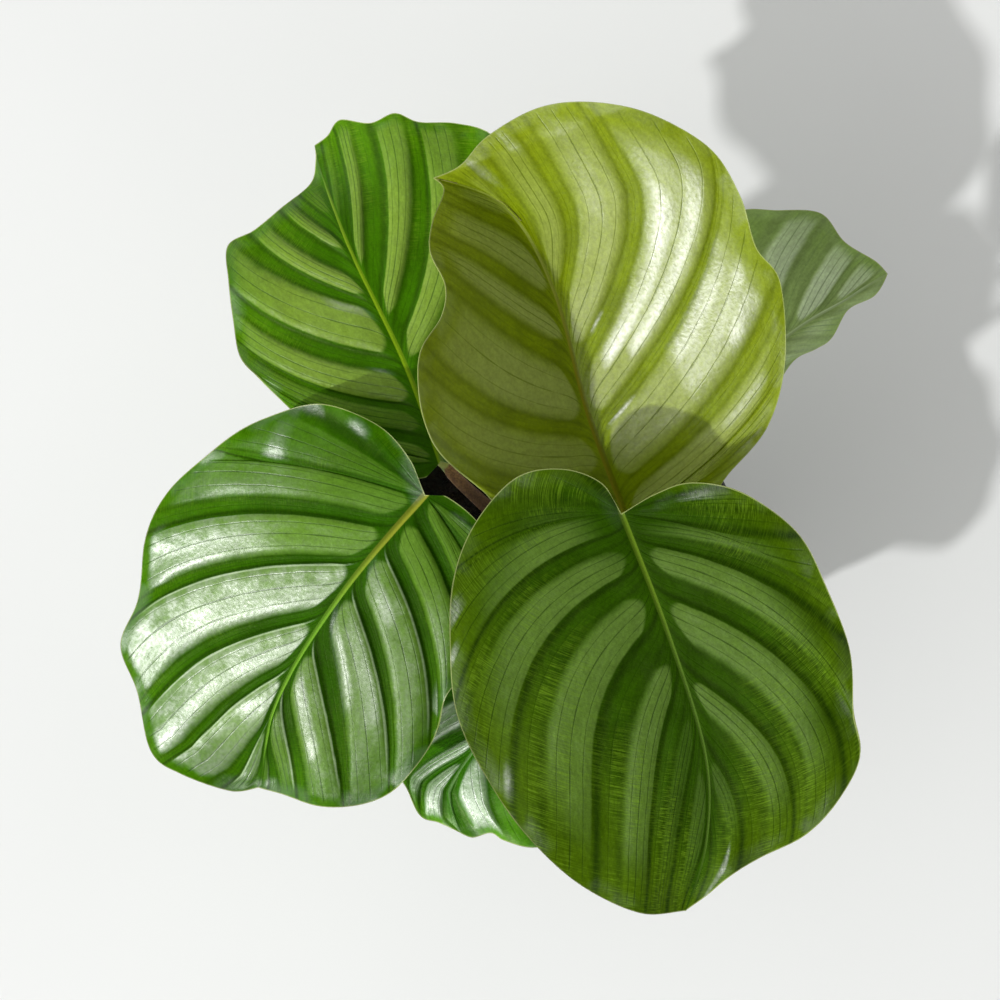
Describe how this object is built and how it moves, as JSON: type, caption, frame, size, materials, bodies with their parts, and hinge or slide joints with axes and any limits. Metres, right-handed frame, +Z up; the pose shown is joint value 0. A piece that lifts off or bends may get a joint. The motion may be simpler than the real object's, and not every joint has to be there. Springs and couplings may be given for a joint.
{
  "type": "potted calathea",
  "caption": "House plant in a tapered pot: broad round silver-banded leaves on slender upright stalks that rise from dark soil.",
  "frame": {"origin": "middle of the pot's underside, on the surface that it stands on", "axes": "+Z up along the pot's axis; -Y is the plant's front, under the highest dark leaf; +X to its right"},
  "size_m": [0.2949, 0.3061, 0.3205],
  "materials": {
    "pot": "satin dark plastic, finely grained",
    "soil": "dark, rough, crumbly potting mix",
    "stalk": "smooth olive green, tan towards the foot",
    "leaf": "waxy dark green with silver bands along the veins",
    "leaf_young": "glossy pale yellow-green with paler bands along the veins"
  },
  "bodies": {
    "root": {"pot": "pot", "soil": "soil", "stalk_front": "stalk", "leaf_front": "leaf", "stalk_left": "stalk", "leaf_left": "leaf", "stalk_back": "stalk", "leaf_back": "leaf_young", "stalk_back_left": "stalk", "leaf_back_left": "leaf", "stalk_right": "stalk", "leaf_right": "leaf", "stalk_low_front": "stalk", "leaf_low_front": "leaf"}
  },
  "joints": []
}
